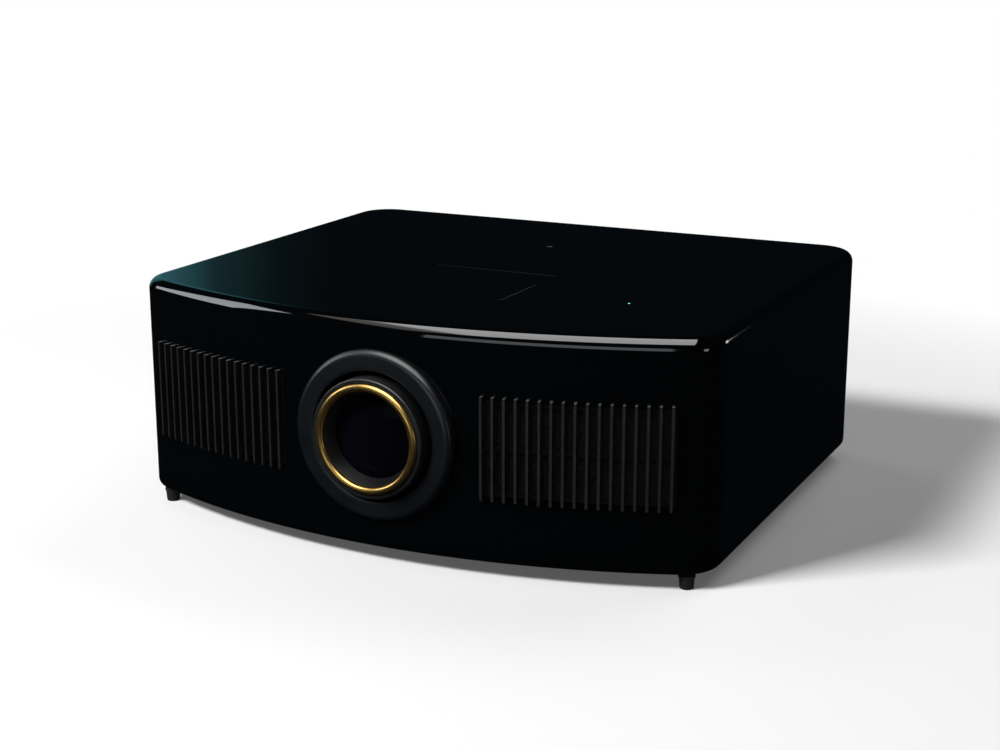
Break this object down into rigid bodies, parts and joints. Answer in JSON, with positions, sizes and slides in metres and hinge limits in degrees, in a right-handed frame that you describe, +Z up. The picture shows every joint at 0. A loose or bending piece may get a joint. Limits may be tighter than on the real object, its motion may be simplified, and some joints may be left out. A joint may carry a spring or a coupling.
{
  "type": "projector",
  "caption": "Home-cinema projector with a bowed gloss black casing, a gold-ringed lens in a round bezel, slatted air grilles and adjustable screw feet.",
  "frame": {"origin": "on the table, under the middle of the whole object's box", "axes": "+X is the viewer's right when facing the lens, +Y runs from the lens to the back, +Z is up"},
  "size_m": [0.5, 0.4582, 0.1915],
  "materials": {
    "gloss_black": "high-gloss black moulding",
    "satin_black": "fine satin black moulding",
    "bezel_grey": "satin dark grey ring",
    "slat_grey": "satin dark grey slats",
    "gold": "polished gold-coloured trim",
    "lens_glass": "coated lens glass",
    "optic_glass": "clear optical glass",
    "black_metal": "black anodised lens metal",
    "cast_metal": "bead-blasted casting",
    "steel": "bright zinc-plated steel",
    "brass_insert": "turned brass",
    "rubber": "dull black rubber",
    "board_green": "printed circuit board with soldered parts",
    "filter_grey": "dark open foam",
    "white_plastic": "natural nylon",
    "ceramic": "plain ceramic",
    "socket_metal": "nickel-plated sockets",
    "status_green": "green light pipe",
    "window_dark": "dark infrared window",
    "wheel_glass": "coated colour segments"
  },
  "bodies": {
    "root": {"top_cover": "gloss_black", "base_tray": "gloss_black", "lamp_door": "gloss_black", "rear_panel": "satin_black", "lens_bezel": "bezel_grey", "left_grille": "slat_grey", "right_grille": "slat_grey", "dust_filters": "filter_grey", "threaded_inserts": "brass_insert", "case_screws": "steel", "status_light_pipe": "status_green", "remote_window": "window_dark", "engine_housing": "cast_metal", "prism": "optic_glass", "mirror_chip": "ceramic", "chip_board": "board_green", "chip_heatsink": "cast_metal", "light_tunnel": "steel", "relay_lenses": "optic_glass", "colour_wheel_motor": "steel", "lamp_housing": "satin_black", "lamp_reflector": "optic_glass", "lamp_burner": "ceramic", "ballast": "steel", "power_supply": "board_green", "main_board": "board_green", "mains_inlet": "satin_black", "metal_sockets": "socket_metal", "rca_sockets": "socket_metal", "inner_leads": "satin_black", "air_baffles": "steel", "fan_frames": "satin_black"},
    "hatch": {"top_hatch": "gloss_black"},
    "front_left_foot": {"front_left_foot": "rubber"},
    "front_right_foot": {"front_right_foot": "rubber"},
    "rear_left_foot": {"rear_left_foot": "rubber"},
    "rear_right_foot": {"rear_right_foot": "rubber"},
    "carriage_x": {"shift_carriage_x": "cast_metal"},
    "dial_x": {"shift_dial_x": "satin_black"},
    "carriage_z": {"shift_carriage_z": "black_metal", "lens_barrel": "black_metal", "lens_motors": "steel"},
    "dial_z": {"shift_dial_z": "satin_black"},
    "focus_ring": {"focus_ring": "satin_black"},
    "focus_cell": {"focus_cell": "black_metal", "gold_ring": "gold", "front_lens": "lens_glass"},
    "focus_pinion": {"focus_pinion": "white_plastic"},
    "zoom_ring": {"zoom_ring": "satin_black"},
    "zoom_cell": {"zoom_cell": "black_metal", "zoom_lens": "optic_glass"},
    "zoom_pinion": {"zoom_pinion": "white_plastic"},
    "colour_wheel": {"colour_wheel": "wheel_glass"},
    "left_fan": {"left_fan_rotor": "satin_black"},
    "right_fan": {"right_fan_rotor": "satin_black"},
    "rocker": {"power_rocker": "satin_black"},
    "power_button": {"power_button": "satin_black"},
    "menu_button": {"menu_button": "satin_black"},
    "up_button": {"up_button": "satin_black"},
    "down_button": {"down_button": "satin_black"}
  },
  "joints": [
    {"name": "hatch_hinge", "type": "hinge", "parent": "root", "child": "hatch", "pos_m": [0, -0.0133, 0.1875], "axis": [-1, 0, 0], "range_deg": [0, 88]},
    {"name": "front_left_foot_screw", "type": "slide", "parent": "root", "child": "front_left_foot", "axis": [0, 0, 1], "range_m": [-0.012, 0]},
    {"name": "front_right_foot_screw", "type": "slide", "parent": "root", "child": "front_right_foot", "axis": [0, 0, 1], "range_m": [-0.012, 0]},
    {"name": "rear_left_foot_screw", "type": "slide", "parent": "root", "child": "rear_left_foot", "axis": [0, 0, 1], "range_m": [-0.012, 0]},
    {"name": "rear_right_foot_screw", "type": "slide", "parent": "root", "child": "rear_right_foot", "axis": [0, 0, 1], "range_m": [-0.012, 0]},
    {"name": "shift_x", "type": "slide", "parent": "root", "child": "carriage_x", "axis": [1, 0, 0], "range_m": [-0.002, 0.002]},
    {"name": "dial_x_turn", "type": "hinge", "parent": "root", "child": "dial_x", "pos_m": [-0.03, -0.0689, 0.1696], "axis": [1, 0, 0], "range_deg": [-185, 185]},
    {"name": "shift_z", "type": "slide", "parent": "carriage_x", "child": "carriage_z", "axis": [0, 0, 1], "range_m": [-0.0036, 0.0036]},
    {"name": "dial_z_turn", "type": "hinge", "parent": "carriage_x", "child": "dial_z", "pos_m": [0.03, -0.1009, 0.1776], "axis": [0, 0, 1], "range_deg": [-330, 330]},
    {"name": "focus_turn", "type": "hinge", "parent": "carriage_z", "child": "focus_ring", "pos_m": [0, -0.1629, 0.1026], "axis": [0, 1, 0], "range_deg": [-1, 93]},
    {"name": "focus_slide", "type": "slide", "parent": "carriage_z", "child": "focus_cell", "axis": [0, -1, 0], "range_m": [0, 0.003]},
    {"name": "focus_pinion_turn", "type": "hinge", "parent": "carriage_z", "child": "focus_pinion", "pos_m": [0.04243, -0.1629, 0.14503], "axis": [0, 1, 0], "range_deg": [-605, 5]},
    {"name": "zoom_turn", "type": "hinge", "parent": "carriage_z", "child": "zoom_ring", "pos_m": [0, -0.1449, 0.1026], "axis": [0, 1, 0], "range_deg": [-1, 62]},
    {"name": "zoom_slide", "type": "slide", "parent": "carriage_z", "child": "zoom_cell", "axis": [0, 1, 0], "range_m": [0, 0.008]},
    {"name": "zoom_pinion_turn", "type": "hinge", "parent": "carriage_z", "child": "zoom_pinion", "pos_m": [-0.03677, -0.1449, 0.13937], "axis": [0, 1, 0], "range_deg": [-345, 5]},
    {"name": "colour_wheel_spin", "type": "hinge", "parent": "root", "child": "colour_wheel", "pos_m": [-0.118, -0.0549, 0.1216], "axis": [1, 0, 0], "continuous": true},
    {"name": "left_fan_spin", "type": "hinge", "parent": "root", "child": "left_fan", "pos_m": [-0.14265, -0.14456, 0.1026], "axis": [0.2529, 0.9675, 0], "continuous": true},
    {"name": "right_fan_spin", "type": "hinge", "parent": "root", "child": "right_fan", "pos_m": [0.14265, -0.14456, 0.1026], "axis": [-0.2529, 0.9675, 0], "continuous": true},
    {"name": "rocker_tilt", "type": "hinge", "parent": "root", "child": "rocker", "pos_m": [0.15, 0.2176, 0.095], "axis": [1, 0, 0], "range_deg": [0, 18]},
    {"name": "power_button_press", "type": "slide", "parent": "root", "child": "power_button", "axis": [0, -1, 0], "range_m": [0, 0.0008], "stiffness_N_per_m": 800},
    {"name": "menu_button_press", "type": "slide", "parent": "root", "child": "menu_button", "axis": [0, -1, 0], "range_m": [0, 0.0008], "stiffness_N_per_m": 800},
    {"name": "up_button_press", "type": "slide", "parent": "root", "child": "up_button", "axis": [0, -1, 0], "range_m": [0, 0.0008], "stiffness_N_per_m": 800},
    {"name": "down_button_press", "type": "slide", "parent": "root", "child": "down_button", "axis": [0, -1, 0], "range_m": [0, 0.0008], "stiffness_N_per_m": 800}
  ],
  "couplings": [
    {"joint": "dial_x_turn", "follows": "shift_x", "rad_per_m": 1570.8},
    {"joint": "dial_z_turn", "follows": "shift_z", "rad_per_m": 1570.8},
    {"joint": "focus_turn", "follows": "focus_slide", "rad_per_m": 523.6},
    {"joint": "focus_pinion_turn", "follows": "focus_slide", "rad_per_m": -3403.4},
    {"joint": "zoom_turn", "follows": "zoom_slide", "rad_per_m": 130.9},
    {"joint": "zoom_pinion_turn", "follows": "zoom_slide", "rad_per_m": -719.95}
  ]
}
